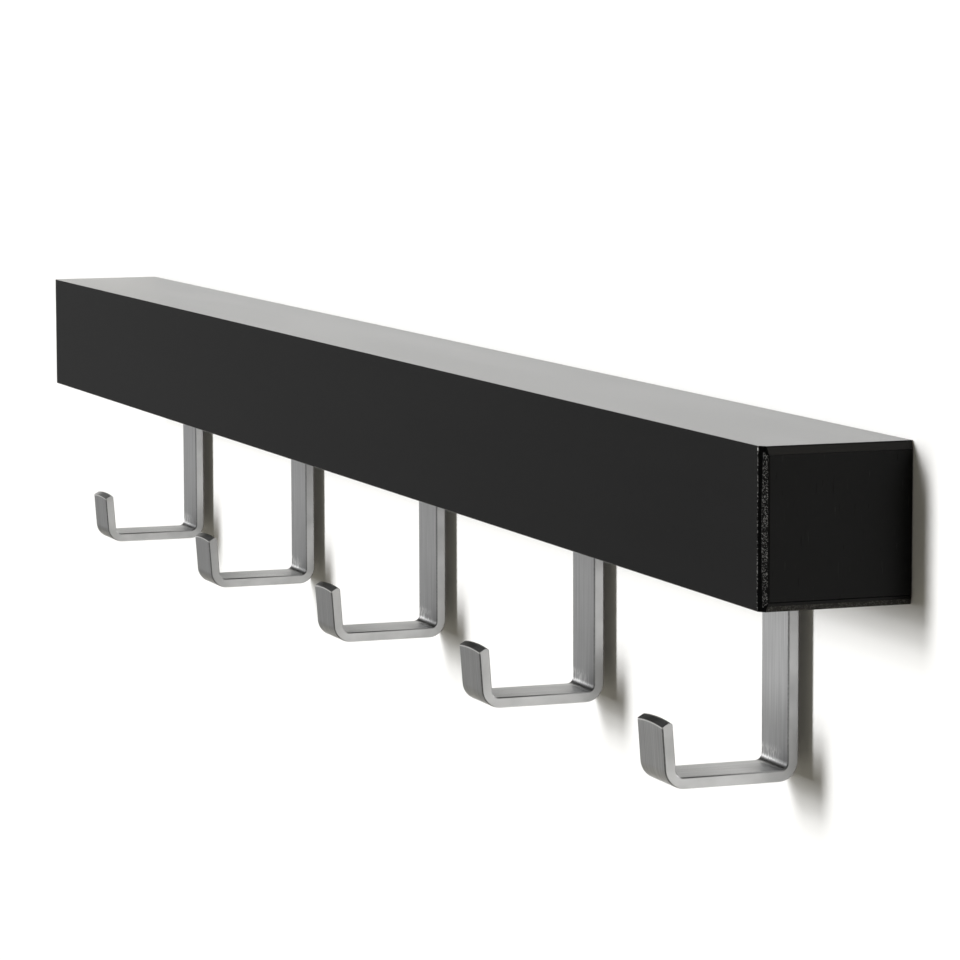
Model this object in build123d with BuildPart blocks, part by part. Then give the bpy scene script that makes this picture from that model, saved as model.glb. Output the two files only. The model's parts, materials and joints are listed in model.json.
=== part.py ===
from build123d import *
import os
from math import atan2, cos, degrees, radians, sin, tan

# A wall shelf of square section with a row of flat steel hooks under it.
# The origin is the centre of the back, on the wall. X runs along the shelf to the right,
# -Y points into the room and +Z points up. All sizes are in millimetres.

# Shelf
shelf_length = 1000.0
shelf_depth = 60.0
shelf_height = 60.0
board = 3.2  # thickness of the board that is folded round the front, top and bottom
end_land = 0.1  # flat rim left between the bevels of an end and its panel
end_run = 0.7  # the shallow upper and lower bevels' way along the shelf; the front one is at 45 degrees
fold_radius = 0.35  # outside of the two folds
glue_gap = 0.1  # left for glue between wooden pieces

# End panels
panel_thickness = 9.0
panel_groove = 0.25  # small bevel that draws the joint line at a panel's front and bottom

# Hooks
hook_count = 5
hook_inset = 100.0  # from a shelf end to the middle of the hook nearest to it
bar_width = 25.0
bar_thickness = 4.5
bend_inside = 3.0
bend_outside = 8.2  # more than the inside and the bar together, because a tight bend thins the bar
hook_drop = 80.0  # from the shelf's underside to the underside of a hook
hook_reach = 59.5  # from the wall to the outside of the upturned tip, at its foot
tip_height = 26.2  # the whole upturn, from a hook's underside to the top of its tip
tip_lean = 4.3  # degrees, outwards
tip_radius = 112.0  # the tip's end is rounded across the bar
tip_bevel_rise = 1.3  # the long bevel on the tip's outside edge
tip_bevel_run = 2.7
tip_back_radius = 1.2  # the eased edge on the side of the wall
bar_edge = 0.45  # small bevel along the bar's edges
leg_rise = 50.0  # how far a leg goes up inside the shelf

# Mounting rail
rail_thickness = 12.0
leg_back = 4.5  # thickness of rail left between a leg and the wall
groove_clearance = 0.2
slot_clearance = 0.4

# Machine screws that hold the hooks, one in each leg
screw_radius = 1.95
screw_head_radius = 3.75
screw_length = 10.0
screw_height = 38.0  # above the shelf's underside
screw_clearance = 0.25
thread_clearance = 0.05
sink_angle = 90.0

# Hexagon socket of every screw
socket_share = 0.4  # of the head's radius, to a corner
socket_depth = 1.2

# Keyhole plates
plate_inset = 200.0  # from a shelf end to the middle of the plate nearest to it
plate_height = 44.0
plate_width = 18.0
plate_thickness = 1.2
plate_clearance = 0.15
keyhole_radius = 4.75
keyhole_slot = 4.6
keyhole_rise = 10.0  # from the middle of the entry to the middle of the slot's end
keyhole_drop = 5.0  # from the plate's middle down to the middle of the entry
head_room = 1.25  # round the wall screw's head, behind the plate
head_room_depth = 6.0

# Short blunt screws that hold the plates
plate_screw_radius = 1.7
plate_screw_head_radius = 3.2
plate_screw_length = 9.0
plate_screw_inset = 4.7  # from a plate's end

half_length = shelf_length / 2
half_height = shelf_height / 2
inside_height = shelf_height - 2 * board
end_bevel = board - end_land
rail_length = shelf_length - 2 * (panel_thickness + glue_gap)
leg_front = leg_back + bar_thickness
hook_pitch = (shelf_length - 2 * hook_inset) / (hook_count - 1)
hook_places = [hook_inset - half_length + hook_pitch * n for n in range(hook_count)]
screw_level = screw_height - half_height
plate_sides = {"left": plate_inset - half_length, "right": half_length - plate_inset}
plate_screw_levels = [side * (plate_height / 2 - plate_screw_inset) for side in (-1, 1)]
sink_slope = tan(radians(sink_angle / 2))
tip_bevel_angle = degrees(atan2(tip_bevel_rise, tip_bevel_run))

# A plate screw's head still tapers where it enters the rail
pilot_radius = plate_screw_head_radius - plate_thickness * sink_slope + thread_clearance

# The back of the shelf, seen from the wall
back = Plane(origin=(0, 0, 0), x_dir=(-1, 0, 0), z_dir=(0, 1, 0))


def back_place(x, level, inset=0.0):
    """A place on the back, or inset from it, whose +Z points to the wall."""
    return back.offset(-inset) * Location((-x, level))


def finish(builder, name):
    """Labels a finished piece and writes its file."""
    builder.part.label = name
    export_step(builder.part, f"parts/{name}.step")


def beam_shell():
    """Front, top and bottom as one folded board, bevelled at the ends and slotted for the hooks."""
    with BuildPart() as shell:
        with BuildSketch(Plane.YZ.offset(-half_length)) as channel:
            with Locations((-shelf_depth / 2, 0)):
                Rectangle(shelf_depth, shelf_height)
            fillet(channel.vertices().group_by(Axis.X)[0], fold_radius)
            with Locations(((board - shelf_depth) / 2, 0)):
                Rectangle(shelf_depth - board, inside_height, mode=Mode.SUBTRACT)
        extrude(amount=shelf_length)
        with BuildSketch(Plane.XZ):
            with BuildLine():
                Polyline(
                    (0, half_height),
                    (half_length - end_run, half_height),
                    (half_length, half_height - end_bevel),
                    (half_length, 0),
                )
                mirror(about=Plane.XZ)
                mirror(about=Plane.YZ)
            make_face()
        extrude(amount=shelf_depth, mode=Mode.INTERSECT)
        with BuildSketch(Plane.XY.offset(-half_height)) as seen_from_top:
            with Locations((0, -shelf_depth / 2)):
                Rectangle(shelf_length, shelf_depth)
            chamfer(seen_from_top.vertices().group_by(Axis.Y)[0], end_bevel)
        extrude(amount=shelf_height, mode=Mode.INTERSECT)
        with BuildSketch(Plane.XY.offset(-half_height)):
            with Locations([(x, -(leg_back + leg_front) / 2) for x in hook_places]):
                Rectangle(bar_width + 2 * slot_clearance, bar_thickness + 2 * slot_clearance)
        extrude(amount=board, mode=Mode.SUBTRACT)
    return shell


def end_panel(side):
    """A flat panel that fills one end of the shell; side is -1 for the left and 1 for the right."""
    width = shelf_depth - board - glue_gap
    height = inside_height - 2 * glue_gap
    with BuildPart() as panel:
        with BuildSketch(Plane.YZ.offset(side * half_length)):
            with Locations((-width / 2, 0)):
                Rectangle(width, height)
        extrude(amount=-side * panel_thickness)
        outer_face = panel.faces().sort_by(Axis((0, 0, 0), (side, 0, 0)))[-1]
        front_edge = outer_face.edges().sort_by(Axis.Y)[0]
        low_edge = outer_face.edges().sort_by(Axis.Z)[0]
        chamfer([front_edge, low_edge], panel_groove)
    return panel


def mounting_rail():
    """The rail at the back, with a groove for each leg and a recess for each keyhole plate."""
    rail_height = inside_height - 2 * glue_gap
    with BuildPart() as rail:
        with BuildSketch(back):
            Rectangle(rail_length, rail_height)
        extrude(amount=-rail_thickness)
        with BuildSketch(back.offset(-rail_thickness)):
            with Locations([(-x, 0) for x in hook_places]):
                Rectangle(bar_width + 2 * groove_clearance, rail_height)
        extrude(amount=rail_thickness - leg_back, mode=Mode.SUBTRACT)
        with Locations([back_place(x, screw_level) for x in hook_places]):
            CounterSinkHole(screw_radius + screw_clearance, screw_head_radius, leg_back, sink_angle)
        with BuildSketch(back):
            with Locations([(-x, 0) for x in plate_sides.values()]):
                SlotOverall(
                    plate_height + 2 * plate_clearance, plate_width + 2 * plate_clearance, rotation=90
                )
        extrude(amount=-plate_thickness, mode=Mode.SUBTRACT)
        with BuildSketch(back.offset(-plate_thickness)):
            with Locations([(-x, keyhole_rise / 2 - keyhole_drop) for x in plate_sides.values()]):
                room = 2 * (keyhole_radius + head_room)
                SlotOverall(keyhole_rise + room, room, rotation=90)
        extrude(amount=-head_room_depth, mode=Mode.SUBTRACT)
        for x in plate_sides.values():
            with Locations([back_place(x, y, plate_thickness) for y in plate_screw_levels]):
                Hole(pilot_radius, plate_screw_length - plate_thickness)
    return rail


def hook(x):
    """A flat bar bent into a J, with a leaning tip and a tapped hole in its leg."""
    underside = -half_height - hook_drop
    lean = radians(tip_lean)
    tip_top = (-hook_reach - tip_height * tan(lean), underside + tip_height)
    tip_face = Plane(origin=(x, *tip_top), x_dir=(1, 0, 0), z_dir=(0, -cos(lean), -sin(lean)))
    with BuildPart() as bar:
        with BuildSketch(Plane.YZ.offset(x - bar_width / 2)) as profile:
            with BuildLine():
                outside = Polyline(
                    (-leg_back, leg_rise - half_height),
                    (-leg_back, underside),
                    (-hook_reach, underside),
                    tip_top,
                )
                offset(outside, amount=bar_thickness, side=Side.RIGHT)
            make_face()
            fillet(profile.vertices().group_by(Axis.Y)[1], bend_inside)
            fillet(profile.vertices().group_by(Axis.Y)[0], bend_outside)
        extrude(amount=bar_width)
        chamfer(bar.faces().filter_by(Axis.X).edges(), bar_edge)
        with BuildSketch(tip_face):
            Rectangle(2 * bar_width, 2 * bar_width)
            with Locations((0, -tip_radius)):
                Circle(tip_radius, mode=Mode.SUBTRACT)
        extrude(amount=2 * bar_thickness, both=True, mode=Mode.SUBTRACT)
        with BuildSketch(tip_face):
            Rectangle(2 * bar_width, 2 * bar_width)
            with Locations((0, -tip_radius - tip_bevel_rise)):
                Circle(tip_radius, mode=Mode.SUBTRACT)
        extrude(amount=-bar_thickness, taper=tip_bevel_angle, mode=Mode.SUBTRACT)
        end_edges = bar.edges().filter_by(GeomType.CIRCLE).group_by(SortBy.RADIUS)[-1]
        fillet(end_edges.sort_by(Axis.Y)[-1], tip_back_radius)
        with Locations(back_place(x, screw_level, leg_back)):
            Hole(screw_radius + thread_clearance, bar_thickness)
    return bar


def screw(head_radius, shank_radius, length):
    """A countersunk screw whose head lies flat at Z = 0 and whose shank goes down."""
    with BuildPart() as fastener:
        with BuildSketch(Plane.XZ):
            with BuildLine():
                Polyline(
                    (0, 0),
                    (head_radius, 0),
                    (shank_radius, -(head_radius - shank_radius) / sink_slope),
                    (shank_radius, -length),
                    (0, -length),
                    close=True,
                )
            make_face()
        revolve(axis=Axis.Z)
        with BuildSketch():
            RegularPolygon(socket_share * head_radius, 6)
        extrude(amount=-socket_depth, mode=Mode.SUBTRACT)
    return fastener


def keyhole_plate(x):
    """A flat plate with rounded ends, a keyhole in the middle and a countersunk hole at each end."""
    entry = (-x, -keyhole_drop)
    with BuildPart() as plate:
        with BuildSketch(back):
            with Locations((-x, 0)):
                SlotOverall(plate_height, plate_width, rotation=90)
            with Locations(entry):
                Circle(keyhole_radius, mode=Mode.SUBTRACT)
            with Locations((entry[0], entry[1] + keyhole_rise / 2)):
                SlotCenterToCenter(keyhole_rise, keyhole_slot, rotation=90, mode=Mode.SUBTRACT)
        extrude(amount=-plate_thickness)
        with Locations([back_place(x, y) for y in plate_screw_levels]):
            CounterSinkHole(
                plate_screw_radius + screw_clearance, plate_screw_head_radius, plate_thickness, sink_angle
            )
    return plate


def placed(fastener, places):
    """Copies of one screw, put in from the wall side."""
    with BuildPart() as group:
        with Locations(places):
            add(fastener.part)
    return group


os.makedirs("parts", exist_ok=True)
finish(beam_shell(), "beam_shell")
finish(end_panel(-1), "left_end_panel")
finish(end_panel(1), "right_end_panel")
finish(mounting_rail(), "mounting_rail")

machine_screw = screw(screw_head_radius, screw_radius, screw_length)
for number, x in enumerate(hook_places, 1):
    finish(hook(x), f"hook_{number}")
    finish(placed(machine_screw, [back_place(x, screw_level)]), f"hook_{number}_screw")

plate_screw = screw(plate_screw_head_radius, plate_screw_radius, plate_screw_length)
for side, x in plate_sides.items():
    finish(keyhole_plate(x), f"{side}_keyhole_plate")
    finish(placed(plate_screw, [back_place(x, y) for y in plate_screw_levels]), f"{side}_plate_screws")
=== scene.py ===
# Looks for a black wall shelf with bent steel hooks, seen from its right end
import json
import math
import bpy
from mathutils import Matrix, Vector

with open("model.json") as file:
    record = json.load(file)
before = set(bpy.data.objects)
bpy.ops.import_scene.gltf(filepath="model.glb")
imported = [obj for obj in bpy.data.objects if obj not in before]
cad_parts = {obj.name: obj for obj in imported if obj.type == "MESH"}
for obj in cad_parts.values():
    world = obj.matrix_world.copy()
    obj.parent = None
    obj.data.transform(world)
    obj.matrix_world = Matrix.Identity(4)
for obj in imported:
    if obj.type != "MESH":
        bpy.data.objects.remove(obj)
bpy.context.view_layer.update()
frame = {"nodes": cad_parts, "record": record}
nodes = frame["nodes"]
print("frame loaded,", len(nodes), "nodes")


# Node helpers

noiseSpan = (0.3, 0.7)  # where most of a noise's values lie
squareOn = 0.9  # a face looks along an axis when its normal is over this


def startMaterial(name):
    material = bpy.data.materials.new(name)
    material.use_nodes = True
    tree = material.node_tree
    tree.nodes.clear()
    return material, tree


def put(tree, kind, sockets=None, **settings):  # one node, its settings and what feeds it
    made = tree.nodes.new(kind)
    for key, value in settings.items():
        setattr(made, key, value)
    for key, value in (sockets or {}).items():
        if isinstance(value, bpy.types.NodeSocket):
            tree.links.new(value, made.inputs[key])
        else:
            made.inputs[key].default_value = value
    return made


def sums(tree, operation, first, second=0.0, third=0.0):
    made = put(tree, "ShaderNodeMath", {0: first, 1: second, 2: third}, operation=operation)
    return made.outputs[0]


def both(tree, first, *others):  # masks multiplied together
    for other in others:
        first = sums(tree, "MULTIPLY", first, other)
    return first


def either(tree, first, *others):  # the largest of some masks
    for other in others:
        first = sums(tree, "MAXIMUM", first, other)
    return first


def added(tree, first, *others):
    for other in others:
        first = sums(tree, "ADD", first, other)
    return first


def between(tree, value, low, high, toLow=0.0, toHigh=1.0):  # a smooth ramp from low to high
    sockets = {0: value, 1: low, 2: high, 3: toLow, 4: toHigh}
    return put(tree, "ShaderNodeMapRange", sockets, interpolation_type="SMOOTHSTEP").outputs[0]


def inside(tree, value, rise, fall):  # a mask that comes up over one ramp and goes down over another
    return both(tree, between(tree, value, *rise), between(tree, value, *fall))


def blendColors(tree, share, first, second):
    made = put(tree, "ShaderNodeMix", {0: share, 6: first, 7: second}, data_type="RGBA")
    return made.outputs[2]


def noise(tree, vector, scale, detail=2.0, roughness=0.5):
    sockets = {"Vector": vector, "Scale": scale, "Detail": detail, "Roughness": roughness}
    return put(tree, "ShaderNodeTexNoise", sockets).outputs["Fac"]


def drawnNoise(tree, vector, scale, detail=2.0, roughness=0.5):  # with a scale for each axis
    made = put(tree, "ShaderNodeMapping", {"Vector": vector, "Scale": scale})
    return noise(tree, made.outputs["Vector"], 1.0, detail, roughness)


def bumps(tree, height, strength, distance):
    made = put(tree, "ShaderNodeBump", {"Height": height, "Strength": strength, "Distance": distance})
    return made.outputs[0]


def grey(level):
    return (level, level, level, 1)


def axes(tree, vector):  # its X, Y and Z
    return put(tree, "ShaderNodeSeparateXYZ", {0: vector}).outputs


def coordinates(tree):  # the place on the piece, and which way its surface faces
    coords = put(tree, "ShaderNodeTexCoord").outputs
    return coords["Object"], axes(tree, coords["Object"]), axes(tree, coords["Normal"])


def placeOn(tree):
    return put(tree, "ShaderNodeTexCoord").outputs["Object"]


def finishMaterial(tree, shader):
    output = put(tree, "ShaderNodeOutputMaterial")
    tree.links.new(shader, output.inputs["Surface"])


# Black foil on the folded board, with its bevelled ends

foil = {
    "color": 0.0078,
    "uneven": 0.05,  # share by which the colour varies
    "clouds": (4.0, 30.0, 30.0),  # to a metre along X, Y and Z
    "roughness": 0.215,
    "roughSpread": 0.01,
    "ior": 1.5,
    "shine": 0.5,
    "endShine": 0.12,  # the bevels are duller
    "endX": 0.500,
    "topZ": 0.030,
    "bevel": 0.0031,  # how far the end bevels reach
    "slant": 0.5,  # the front bevel looks sideways by more than this
    "forward": -0.4,  # and forward too
    "topBevel": 0.022,  # greys of the bevels
    "lowBevel": 0.003,
    "frontBevel": 0.0015,
    "topLine": (0.0293, 0.0297),  # a black line between the top and its bevel
    "topLineGrey": 0.001,
}

sanding = {  # the sanded strips on the front bevel and the low one
    "grains": 3400.0,  # to a metre
    "flecks": 420.0,  # to a metre, where grains are more or fewer
    "fleckShare": 0.5,
    "glint": (0.92, 1.14),  # the level at which a grain shows a painted glint
    "frontGreys": (0.002, 0.17),
    "lowGreys": (0.036, 0.12),
    "inner": (0.34, 0.44),  # where the front strip starts and ends, in shares of the bevel's width
    "outer": (1.0, 0.90),
    "bow": 160.0,  # how fast it narrows towards its ends
    "slope": 0.0030,  # how far its ends slope across the bevel
    "top": (0.0297, 0.0290),
    "bottom": (-0.0301, -0.0297),
    "lowHeight": 0.0022,
    "lowSoft": 0.0003,  # how softly the low strip begins
    "rougher": 0.4,
    "relief": (0.6, 0.0002),  # strength and depth of the bumps
}

wearAndSheenEdge = {  # the pale dots where the front turns into its bevel: partly wear, partly a painted highlight on the eased edge
    "onBevel": (0.10, 0.03),  # in shares of the bevel's width
    "onFront": (-0.09, -0.03),
    "dots": 2400.0,
    "level": (0.52, 0.60),
    "dotGrey": 0.26,
    "highlightRise": (0.0280, 0.0284),  # one larger painted highlight near the top, where three edges meet
    "highlightFall": (0.0295, 0.0291),
    "highlightGrey": 0.60,
}

rawEdge = {  # the board's own edge, on the wall side
    "board": (0.16, 0.10, 0.06, 1),
    "fibre": (0.24, 0.16, 0.10, 1),
    "grain": (900.0, 900.0, 4000.0),
}


def bevelMasks(tree, place, facing):
    sideways = sums(tree, "ABSOLUTE", facing[0])
    shallow = sums(tree, "GREATER_THAN", sideways, squareOn)
    topBevel = both(tree, shallow, sums(tree, "GREATER_THAN", place[2], 0.0))
    lowBevel = both(tree, shallow, sums(tree, "LESS_THAN", place[2], 0.0))
    slanted = both(
        tree,
        sums(tree, "GREATER_THAN", sideways, foil["slant"]),
        sums(tree, "LESS_THAN", sideways, squareOn),
        sums(tree, "LESS_THAN", facing[1], foil["forward"]),
    )
    return topBevel, lowBevel, slanted


def sandedStrips(tree, z, height, across, frontBevel, lowBevel):
    bow = both(tree, height, height, sanding["bow"])
    start = sums(tree, "SUBTRACT", across, bow)
    strip = both(tree, between(tree, start, *sanding["inner"]), between(tree, across, *sanding["outer"]))
    slope = both(tree, across, sanding["slope"])
    underTop = between(tree, sums(tree, "ADD", z, slope), *sanding["top"])
    overBottom = between(tree, sums(tree, "SUBTRACT", z, slope), *sanding["bottom"])
    frontStrip = both(tree, strip, underTop, overBottom, frontBevel)
    lowEdge = foil["topZ"] - sanding["lowHeight"]
    lowStrip = both(tree, lowBevel, between(tree, height, lowEdge, lowEdge + sanding["lowSoft"]))
    return frontStrip, lowStrip


def sandedGrains(tree, vector):  # each grain's own level, and its painted glint
    cells = put(tree, "ShaderNodeTexVoronoi", {"Vector": vector, "Scale": sanding["grains"]})
    grit = axes(tree, cells.outputs["Color"])[0]
    fleck = both(tree, noise(tree, vector, sanding["flecks"], 2.0, 0.6), sanding["fleckShare"])
    return grit, between(tree, added(tree, grit, fleck), *sanding["glint"])


# pale dots along the front edge, partly wear and partly painted highlight
def wearAndSheenDots(tree, vector, z, facing, across, frontBevel):
    # a painted highlight near the top, where three edges meet
    cornerHighlight = inside(tree, z, wearAndSheenEdge["highlightRise"], wearAndSheenEdge["highlightFall"])
    dots = noise(tree, vector, wearAndSheenEdge["dots"], 2.0, 0.7)
    dots = either(tree, between(tree, dots, *wearAndSheenEdge["level"]), cornerHighlight)
    onBevel = both(tree, between(tree, across, *wearAndSheenEdge["onBevel"]), frontBevel)
    lookOut = sums(tree, "LESS_THAN", facing[1], -squareOn)
    onFront = both(tree, lookOut, between(tree, across, *wearAndSheenEdge["onFront"]))
    color = blendColors(tree, cornerHighlight, grey(wearAndSheenEdge["dotGrey"]), grey(wearAndSheenEdge["highlightGrey"]))
    return both(tree, either(tree, onBevel, onFront), dots), color


def blackFoil():
    material, tree = startMaterial("blackFoil")
    vector, place, facing = coordinates(tree)
    z = place[2]
    height = sums(tree, "ABSOLUTE", z)
    topBevel, lowBevel, frontBevel = bevelMasks(tree, place, facing)
    run = sums(tree, "SUBTRACT", sums(tree, "ABSOLUTE", place[0]), foil["endX"] - foil["bevel"])
    across = sums(tree, "DIVIDE", run, foil["bevel"])  # 0 at the front edge, 1 at the panel
    frontStrip, lowStrip = sandedStrips(tree, z, height, across, frontBevel, lowBevel)
    grit, glint = sandedGrains(tree, vector)
    onEdge, edgeColor = wearAndSheenDots(tree, vector, z, facing, across, frontBevel)
    # the colours, from the plain foil to what the edges show
    cloud = drawnNoise(tree, vector, foil["clouds"])
    darker, paler = 1 - foil["uneven"], 1 + foil["uneven"]
    color = blendColors(tree, cloud, grey(foil["color"] * darker), grey(foil["color"] * paler))
    color = blendColors(tree, topBevel, color, grey(foil["topBevel"]))
    color = blendColors(tree, lowBevel, color, grey(foil["lowBevel"]))
    color = blendColors(tree, frontBevel, color, grey(foil["frontBevel"]))
    # the sanded strips, whose pale grains are painted glints
    for strip, greys in ((frontStrip, "frontGreys"), (lowStrip, "lowGreys")):
        dark, pale = sanding[greys]
        color = blendColors(tree, strip, color, blendColors(tree, glint, grey(dark), grey(pale)))
    topLine = both(tree, topBevel, between(tree, height, *foil["topLine"]))
    color = blendColors(tree, topLine, color, grey(foil["topLineGrey"]))
    # the edge's wear and painted highlight
    color = blendColors(tree, onEdge, color, edgeColor)
    grain = drawnNoise(tree, vector, rawEdge["grain"], 3.0)
    raw = blendColors(tree, grain, rawEdge["board"], rawEdge["fibre"])
    faceWall = sums(tree, "GREATER_THAN", facing[1], squareOn)
    color = blendColors(tree, faceWall, color, raw)
    # the shine, dull where it is sanded or raw
    sanded = either(tree, frontStrip, lowStrip)
    smoothest = foil["roughness"] - foil["roughSpread"]
    roughest = foil["roughness"] + foil["roughSpread"]
    rough = between(tree, cloud, *noiseSpan, smoothest, roughest)
    rough = added(tree, rough, both(tree, either(tree, sanded, faceWall), sanding["rougher"]))
    onEnd = either(tree, frontBevel, topBevel, lowBevel)
    level = between(tree, onEnd, 0.0, 1.0, foil["shine"], foil["endShine"])
    shader = put(tree, "ShaderNodeBsdfPrincipled", {
        "Base Color": color,
        "Roughness": rough,
        "IOR": foil["ior"],
        "Specular IOR Level": level,
        "Normal": bumps(tree, both(tree, grit, sanded), *sanding["relief"]),
    })
    finishMaterial(tree, shader.outputs[0])
    return material


# Black lacquer with an upright grain on the end panels

lacquer = {
    "color": (0.0098, 0.0102, 0.0112, 1),
    "roughness": 0.38,
    "ior": 1.2,
    "grain": (900.0, 900.0, 90.0),  # to a metre along X, Y and Z
    "paleGrain": (0.66, 0.76),  # levels of the grain that show pale and dark
    "darkGrain": (0.34, 0.24),
    "paleGrey": 0.024,
    "darkGrey": 0.002,
    "clouds": 45.0,
    "cloudShare": 0.25,
    "cloudGrey": 0.006,
    "relief": (0.25, 0.0001),
}


def blackLacquer():
    material, tree = startMaterial("blackLacquer")
    vector = placeOn(tree)
    grain = drawnNoise(tree, vector, lacquer["grain"])
    cloud = noise(tree, vector, lacquer["clouds"])
    cloud = between(tree, cloud, *noiseSpan, 0.0, lacquer["cloudShare"])
    color = blendColors(tree, cloud, lacquer["color"], grey(lacquer["cloudGrey"]))
    pale = between(tree, grain, *lacquer["paleGrain"])
    color = blendColors(tree, pale, color, grey(lacquer["paleGrey"]))
    dark = between(tree, grain, *lacquer["darkGrain"])
    color = blendColors(tree, dark, color, grey(lacquer["darkGrey"]))
    shader = put(tree, "ShaderNodeBsdfPrincipled", {
        "Base Color": color,
        "Roughness": lacquer["roughness"],
        "IOR": lacquer["ior"],
        "Normal": bumps(tree, grain, *lacquer["relief"]),
    })
    finishMaterial(tree, shader.outputs[0])
    return material


# Brushed satin steel of the hooks

steel = {
    "dark": (0.60, 0.602, 0.605, 1),
    "pale": (0.80, 0.803, 0.806, 1),
    "fineBrush": (7000.0, 50.0, 50.0),  # to a metre across and along the bar
    "middleBrush": (2200.0, 22.0, 22.0),
    "clouds": 30.0,
    "shares": (0.35, 0.50, 0.15),  # of the fine brushing, the middle one and the clouds
    "contrast": (0.38, 0.62),
    "roughness": 0.42,
    "roughSpread": 0.05,
    "stretch": 0.70,  # how much the brushing draws the shine out across the bar
    "relief": (0.15, 0.00005),
}

shading = {  # painted light and shade: how bright each side of a hook is painted
    "wideShare": 0.70,  # the faces to the front
    "sideShare": 0.69,  # and all the others
    "nearestX": (0.30, 0.31),  # the nearest hook's faces to the front are painted brighter
    "lowShare": 0.78,  # but get painted shade towards the bend
    "lowZ": (-0.092, -0.070),
    "armShade": 0.26,  # the arms' tops get painted shade by this share
    "armPolish": 0.11,  # and smoother by this
}

edgeReflection = {  # the painted dark reflection where a wide face turns into a narrow side
    "color": (0.10, 0.10, 0.10, 1),
    "turnShare": 0.85,  # on the rounded edge
    "flatShare": 0.42,  # and on the flat beside it
    "flatFrom": (0.0112, 0.0120),  # off the middle of the bar
    "turnRise": (0.10, 0.30),  # how far sideways and forward the rounded edge looks
    "turnFall": (0.80, 0.60),
    "turnFront": (-0.35, -0.55),
    "breaks": 900.0,  # to a metre, where the line on the flat is weaker
    "breakLevel": (0.35, 0.60),
    "breakShare": 0.45,
}

hookShape = {
    "pitch": 0.200,
    "crown": 0.112,  # radius of the tips' tops
    "tipEdge": -0.0851,  # height of the outer edge at the middle of a tip
    "tipTop": -0.0860,  # over this, what looks up is a tip's cut end
    "tipY": (-0.055, -0.056),  # where the tips begin
    "legY": -0.03,  # the legs are behind this
    "forward": (-0.3, -0.8),  # the ramp over which a face counts as looking forward
    "upward": (0.6, 0.9),
    "tipForward": (-0.6, -0.8),
    "tipUpward": 0.8,
}

cutsAndPaintedLight = {  # a hook's cut ends, and the highlights and shade painted on it
    # painted highlight, for the tips' top edges and the streaks over the bend
    "paleHighlight": (0.95, 0.95, 0.94, 1),
    "cutEnd": (0.27, 0.27, 0.268, 1),
    "tipLine": (0.0008, 0.0004),  # how far a tip's painted highlight line reaches down
    "streaks": (900.0, 1.0, 260.0),  # painted highlight streaks on the leg over the bend
    "streakLevel": (0.42, 0.66),
    "streakRise": (-0.1045, -0.1030),
    "streakFall": (-0.0970, -0.1005),
    "streakSide": (0.011, -0.005),  # mostly left of the bar's middle
    "cornerY": (-0.027, -0.014),  # painted shade in the corner between arm and leg
    "cornerSide": (-0.013, 0.010),
    "cornerShare": 0.55,
    "cornerGrey": 0.05,
}


def brushing(tree, vector):
    fine = drawnNoise(tree, vector, steel["fineBrush"], 3.0, 0.6)
    middle = drawnNoise(tree, vector, steel["middleBrush"], 2.0, 0.6)
    slow = noise(tree, vector, steel["clouds"])
    layers = [both(tree, layer, share) for layer, share in zip((fine, middle, slow), steel["shares"])]
    return fine, added(tree, *layers)


# painted light and shade: a brightness share for each side of a hook
def paintedSideShares(tree, place, lookOut):
    nearest = between(tree, place[0], *shading["nearestX"])
    nearShare = both(tree, nearest, between(tree, place[2], *shading["lowZ"], shading["lowShare"], 1.0))
    wideShare = either(tree, nearShare, shading["wideShare"])
    aside = sums(tree, "SUBTRACT", 1.0, lookOut)
    return added(tree, both(tree, lookOut, wideShare), both(tree, aside, shading["sideShare"]))


def addEdgeReflections(tree, color, vector, facing, beside, wide):
    sideways = sums(tree, "ABSOLUTE", facing[0])
    # painted dark reflection on the rounded edge, and on the flat beside it
    turning = inside(tree, sideways, edgeReflection["turnRise"], edgeReflection["turnFall"])
    turning = both(tree, turning, between(tree, facing[1], *edgeReflection["turnFront"]), edgeReflection["turnShare"])
    color = blendColors(tree, turning, color, edgeReflection["color"])
    broken = noise(tree, vector, edgeReflection["breaks"], 2.0, 0.6)
    broken = between(tree, broken, *edgeReflection["breakLevel"], edgeReflection["breakShare"], 1.0)
    nearSide = between(tree, sums(tree, "ABSOLUTE", beside), *edgeReflection["flatFrom"])
    onFlat = both(tree, nearSide, wide, broken, edgeReflection["flatShare"])
    return blendColors(tree, onFlat, color, edgeReflection["color"])


def addTipHighlightAndCut(tree, color, place, facing, beside):
    drop = sums(tree, "DIVIDE", both(tree, beside, beside), 2 * hookShape["crown"])
    edge = sums(tree, "SUBTRACT", hookShape["tipEdge"], drop)
    below = sums(tree, "SUBTRACT", edge, place[2])
    nearTop = both(
        tree,
        between(tree, below, *cutsAndPaintedLight["tipLine"]),
        between(tree, place[1], *hookShape["tipY"]),
        between(tree, facing[1], *hookShape["tipForward"]),
    )
    # a painted highlight along the top edge of a tip's front
    color = blendColors(tree, nearTop, color, cutsAndPaintedLight["paleHighlight"])
    lookUp = sums(tree, "GREATER_THAN", facing[2], hookShape["tipUpward"])
    onTip = both(tree, lookUp, sums(tree, "GREATER_THAN", place[2], hookShape["tipTop"]))
    return blendColors(tree, onTip, color, cutsAndPaintedLight["cutEnd"])


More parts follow.
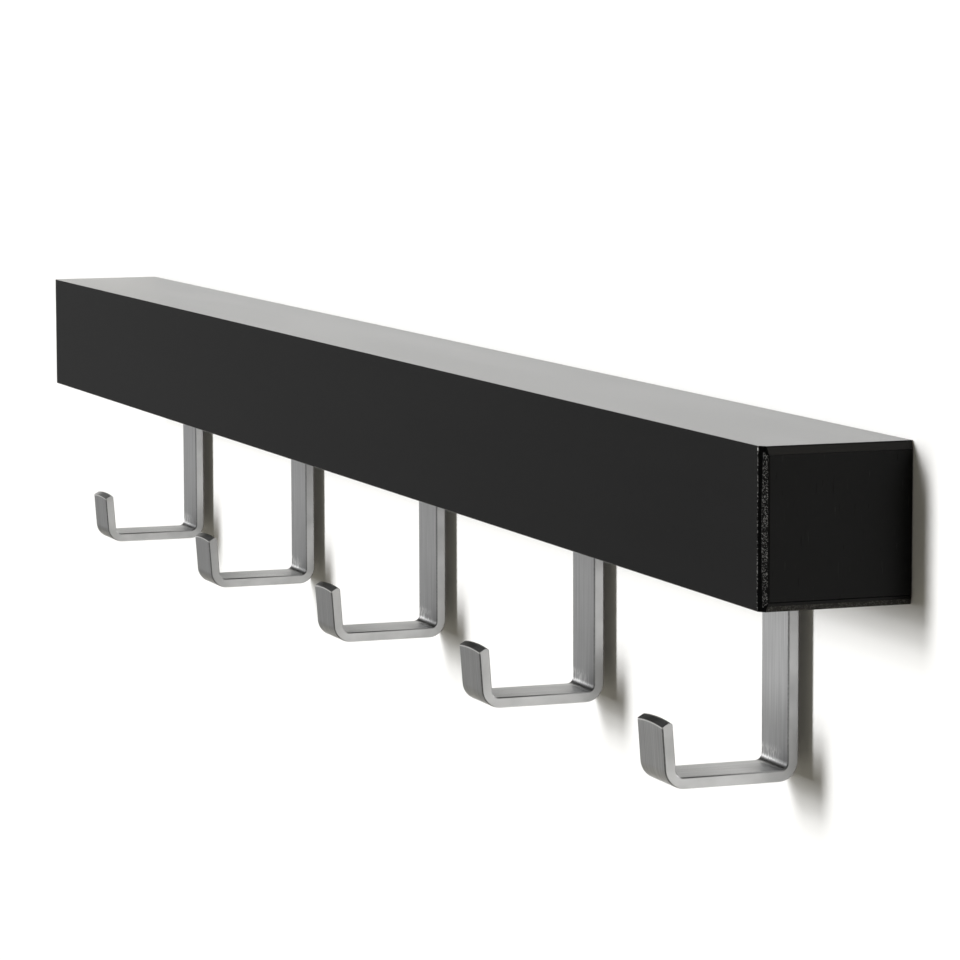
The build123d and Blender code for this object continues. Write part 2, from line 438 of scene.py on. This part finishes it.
def addBendHighlightAndShade(tree, color, vector, place, beside, lookOut, onArm):
    streaks = both(
        tree,
        between(tree, drawnNoise(tree, vector, cutsAndPaintedLight["streaks"], 2.0, 0.6), *cutsAndPaintedLight["streakLevel"]),
        inside(tree, place[2], cutsAndPaintedLight["streakRise"], cutsAndPaintedLight["streakFall"]),
        lookOut,
        sums(tree, "GREATER_THAN", place[1], hookShape["legY"]),
        between(tree, beside, *cutsAndPaintedLight["streakSide"]),
    )
    # painted highlight streaks over the bend
    color = blendColors(tree, streaks, color, cutsAndPaintedLight["paleHighlight"])
    inCorner = both(
        tree,
        between(tree, place[1], *cutsAndPaintedLight["cornerY"]),
        between(tree, beside, *cutsAndPaintedLight["cornerSide"]),
        onArm,
        cutsAndPaintedLight["cornerShare"],
    )
    # painted shade in the inner corner
    return blendColors(tree, inCorner, color, grey(cutsAndPaintedLight["cornerGrey"]))


def satinSteel():
    material, tree = startMaterial("satinSteel")
    vector, place, facing = coordinates(tree)
    fine, level = brushing(tree, vector)
    lookOut = between(tree, facing[1], *hookShape["forward"])
    onArm = between(tree, facing[2], *hookShape["upward"])
    half = hookShape["pitch"] / 2
    beside = sums(tree, "WRAP", place[0], half, -half)  # how far from the hook's middle
    color = blendColors(tree, between(tree, level, *steel["contrast"]), steel["dark"], steel["pale"])
    # painted light and shade on each side of the hook
    color = blendColors(tree, paintedSideShares(tree, place, lookOut), grey(0.0), color)
    color = addEdgeReflections(tree, color, vector, facing, beside, either(tree, lookOut, onArm))
    color = addTipHighlightAndCut(tree, color, place, facing, beside)
    color = addBendHighlightAndShade(tree, color, vector, place, beside, lookOut, onArm)
    # painted shade on the arms' tops
    color = blendColors(tree, both(tree, onArm, shading["armShade"]), color, grey(0.0))
    roughest = steel["roughness"] + steel["roughSpread"]
    smoothest = steel["roughness"] - steel["roughSpread"]
    rough = between(tree, level, *noiseSpan, roughest, smoothest)
    rough = sums(tree, "SUBTRACT", rough, both(tree, onArm, shading["armPolish"]))
    along = put(tree, "ShaderNodeTangent", direction_type="RADIAL", axis="X")
    shader = put(tree, "ShaderNodeBsdfPrincipled", {
        "Base Color": color,
        "Metallic": 1.0,
        "Roughness": rough,
        "Anisotropic": steel["stretch"],
        "Anisotropic Rotation": 0.25,  # a quarter turn, across the bar
        "Tangent": along.outputs[0],
        "Normal": bumps(tree, fine, *steel["relief"]),
    })
    finishMaterial(tree, shader.outputs[0])
    return material


# Bare dense board of the mounting rail

board = {
    "dark": (0.25, 0.165, 0.10, 1),
    "pale": (0.40, 0.28, 0.175, 1),
    "stain": (0.30, 0.20, 0.125, 1),
    "stainShare": 0.35,
    "stainLevel": (0.35, 0.75),
    "fibres": (700.0, 2500.0, 1500.0),
    "clouds": 25.0,
    "roughness": 0.8,
    "relief": (0.3, 0.0002),
}


def railBoard():
    material, tree = startMaterial("railBoard")
    vector = placeOn(tree)
    fibre = drawnNoise(tree, vector, board["fibres"], 4.0, 0.7)
    cloud = noise(tree, vector, board["clouds"], 3.0)
    color = blendColors(tree, between(tree, fibre, *noiseSpan), board["dark"], board["pale"])
    stained = between(tree, cloud, *board["stainLevel"], 0.0, board["stainShare"])
    color = blendColors(tree, stained, color, board["stain"])
    shader = put(tree, "ShaderNodeBsdfPrincipled", {
        "Base Color": color,
        "Roughness": board["roughness"],
        "Normal": bumps(tree, fibre, *board["relief"]),
    })
    finishMaterial(tree, shader.outputs[0])
    return material


# Zinc plate on the hanging plates and the screws

zinc = {
    "dark": (0.50, 0.51, 0.54, 1),
    "pale": (0.68, 0.69, 0.71, 1),
    "spangles": 700.0,
    "clouds": 160.0,
    "spangleSize": 0.7,  # reach of a spangle, in shares of the space between two
    "roughness": (0.26, 0.38),
    "relief": (0.1, 0.0001),
}


def zincPlate():
    material, tree = startMaterial("zincPlate")
    vector = placeOn(tree)
    spangle = put(tree, "ShaderNodeTexVoronoi", {"Vector": vector, "Scale": zinc["spangles"]})
    spangle = spangle.outputs["Distance"]
    cloud = noise(tree, vector, zinc["clouds"], 3.0)
    shader = put(tree, "ShaderNodeBsdfPrincipled", {
        "Base Color": blendColors(tree, cloud, zinc["dark"], zinc["pale"]),
        "Metallic": 1.0,
        "Roughness": between(tree, spangle, 0.0, zinc["spangleSize"], *zinc["roughness"]),
        "Normal": bumps(tree, cloud, *zinc["relief"]),
    })
    finishMaterial(tree, shader.outputs[0])
    return material


finishes = {
    "black_foil": blackFoil(),
    "black_lacquer": blackLacquer(),
    "satin_steel": satinSteel(),
    "rail_board": railBoard(),
    "zinc": zincPlate(),
}
for part in frame["record"]["subparts"]:
    node = nodes[part["node"]]
    for slot in node.material_slots:
        slot.material = finishes[part["material_slot"]]
print("finishes given to", len(nodes), "nodes")


# Wall and floor

room = {
    "wallY": 0.0004,
    "wallWidth": 9.0,
    "wallTop": 2.6,
    "floorZ": -1.5,
    "floorDepth": 6.0,
    "wallPaint": (0.93, 0.93, 0.925, 1),
    "wallGlow": 0.015,
    "floorPaint": (0.80, 0.80, 0.79, 1),
    "floorGlow": 0.50,
    "bouncePaint": (0.50, 0.48, 0.42, 1),  # what light that has bounced once more finds
    "plaster": 60.0,  # unevenness, to a metre
    "relief": (0.10, 0.002),
}


def roomPaint(name, color, glow):
    material, tree = startMaterial(name)
    vector = placeOn(tree)
    plaster = bumps(tree, noise(tree, vector, room["plaster"], 5.0, 0.6), *room["relief"])
    path = put(tree, "ShaderNodeLightPath")
    bounced = sums(tree, "GREATER_THAN", path.outputs["Diffuse Depth"], 0.5)
    color = blendColors(tree, bounced, color, room["bouncePaint"])
    paint = put(tree, "ShaderNodeBsdfDiffuse", {"Color": color, "Normal": plaster})
    light = put(tree, "ShaderNodeEmission", {"Color": grey(1.0), "Strength": glow})
    lit = put(tree, "ShaderNodeAddShader", {0: paint.outputs[0], 1: light.outputs[0]})
    shown = put(tree, "ShaderNodeMixShader", {
        0: path.outputs["Is Camera Ray"],
        1: paint.outputs[0],
        2: lit.outputs[0],
    })
    # seen from behind, the wall isn't there, so that the back of the shelf shows
    side = put(tree, "ShaderNodeNewGeometry")
    passed = sums(tree, "GREATER_THAN", path.outputs["Transparent Depth"], 0.5)
    gone = either(tree, side.outputs["Backfacing"], passed)
    clear = put(tree, "ShaderNodeBsdfTransparent")
    mixed = put(tree, "ShaderNodeMixShader", {0: gone, 1: shown.outputs[0], 2: clear.outputs[0]})
    finishMaterial(tree, mixed.outputs[0])
    return material


def stagePlane(name, corners, material):
    mesh = bpy.data.meshes.new(name)
    mesh.from_pydata(corners, [], [range(len(corners))])
    made = bpy.data.objects.new(name, mesh)
    bpy.context.scene.collection.objects.link(made)
    made.data.materials.append(material)


halfWidth = room["wallWidth"] / 2
wallY, floorZ = room["wallY"], room["floorZ"]
wallTop, floorDepth = room["wallTop"], room["floorDepth"]
stagePlane("wall", [
    (-halfWidth, wallY, floorZ),
    (halfWidth, wallY, floorZ),
    (halfWidth, wallY, wallTop),
    (-halfWidth, wallY, wallTop),
], roomPaint("wallPaint", room["wallPaint"], room["wallGlow"]))
stagePlane("floor", [
    (-halfWidth, -floorDepth, floorZ),
    (halfWidth, -floorDepth, floorZ),
    (halfWidth, wallY, floorZ),
    (-halfWidth, wallY, floorZ),
], roomPaint("floorPaint", room["floorPaint"], room["floorGlow"]))
print("wall and floor made")


# Light

lamps = {  # three lamps over each other make one tall soft light, far off to the front and left
    "low": {"toLight": (-0.26, -1.0, 0.05), "angle": 12.0, "power": 0.95, "shines": False},
    "middle": {"toLight": (-0.26, -1.0, 0.19), "angle": 12.0, "power": 1.25, "shines": False},
    "high": {"toLight": (-0.27, -1.0, 0.34), "angle": 14.0, "power": 1.20, "shines": True},
}


def farLamp(name, lamp):
    light = bpy.data.lights.new(name, "SUN")
    light.energy = lamp["power"]
    light.angle = math.radians(lamp["angle"])  # how wide the lamp looks
    made = bpy.data.objects.new(name, light)
    bpy.context.scene.collection.objects.link(made)
    made.rotation_euler = Vector(lamp["toLight"]).to_track_quat("Z", "Y").to_euler()
    made.visible_glossy = lamp["shines"]  # the pale panel gives most of the shine


for name, lamp in lamps.items():
    farLamp(name, lamp)

surroundings = {
    "ambient": (0.075, 0.069, 0.054, 1),  # a faint warm light from all round
    "shineFront": 0.052,  # what glossy surfaces mirror before the wall
    "shineSide": 0.110,  # and beside the shelf
    "sideFrom": (-0.44, -0.30),
    "panel": 1.4,  # a broad pale panel, for the shine on the steel
    "panelAt": (-0.42, -0.90, 0.12),
    "panelEdge": (0.80, 0.97),
    "behind": 0.80,  # past the wall, so it lights only what is seen from behind
    "behindFrom": (0.0, 0.3),
    "backdrop": 1.0,
}


def makeWorld():
    world = bpy.data.worlds.new("studio")
    bpy.context.scene.world = world
    world.use_nodes = True
    tree = world.node_tree
    tree.nodes.clear()
    path = put(tree, "ShaderNodeLightPath")
    direction = put(tree, "ShaderNodeTexCoord").outputs["Generated"]
    toWall = axes(tree, direction)[1]
    beside = between(tree, toWall, *surroundings["sideFrom"])
    shine = blendColors(tree, beside, grey(surroundings["shineFront"]), grey(surroundings["shineSide"]))
    toPanel = {0: direction, 1: surroundings["panelAt"]}
    toPanel = put(tree, "ShaderNodeVectorMath", toPanel, operation="DOT_PRODUCT").outputs["Value"]
    onPanel = between(tree, toPanel, *surroundings["panelEdge"])
    shine = blendColors(tree, onPanel, shine, grey(surroundings["panel"]))
    color = blendColors(tree, path.outputs["Is Glossy Ray"], surroundings["ambient"], shine)
    behind = between(tree, toWall, *surroundings["behindFrom"])
    color = blendColors(tree, behind, color, grey(surroundings["behind"]))
    ambient = put(tree, "ShaderNodeBackground", {"Color": color})
    backdrop = put(tree, "ShaderNodeBackground", {"Color": grey(surroundings["backdrop"])})
    seen = put(tree, "ShaderNodeMixShader", {
        0: path.outputs["Is Camera Ray"],
        1: ambient.outputs[0],
        2: backdrop.outputs[0],
    })
    output = put(tree, "ShaderNodeOutputWorld")
    tree.links.new(seen.outputs[0], output.inputs["Surface"])


makeWorld()
print("lamps and surroundings made")


# Camera

view = {
    "at": (1.86813, -0.67215, 0.18707),
    "turn": (83.5605, 0.1581, 69.7177),  # degrees
    "lens": 157.943,  # for a square picture
    "sensor": 36.0,
}
camera = bpy.data.objects.new("camera", bpy.data.cameras.new("camera"))
bpy.context.scene.collection.objects.link(camera)
camera.location = view["at"]
camera.rotation_euler = [math.radians(angle) for angle in view["turn"]]
camera.data.lens = view["lens"]
camera.data.sensor_width = view["sensor"]
bpy.context.scene.camera = camera
bpy.context.scene.view_settings.view_transform = "Standard"
print("camera set")
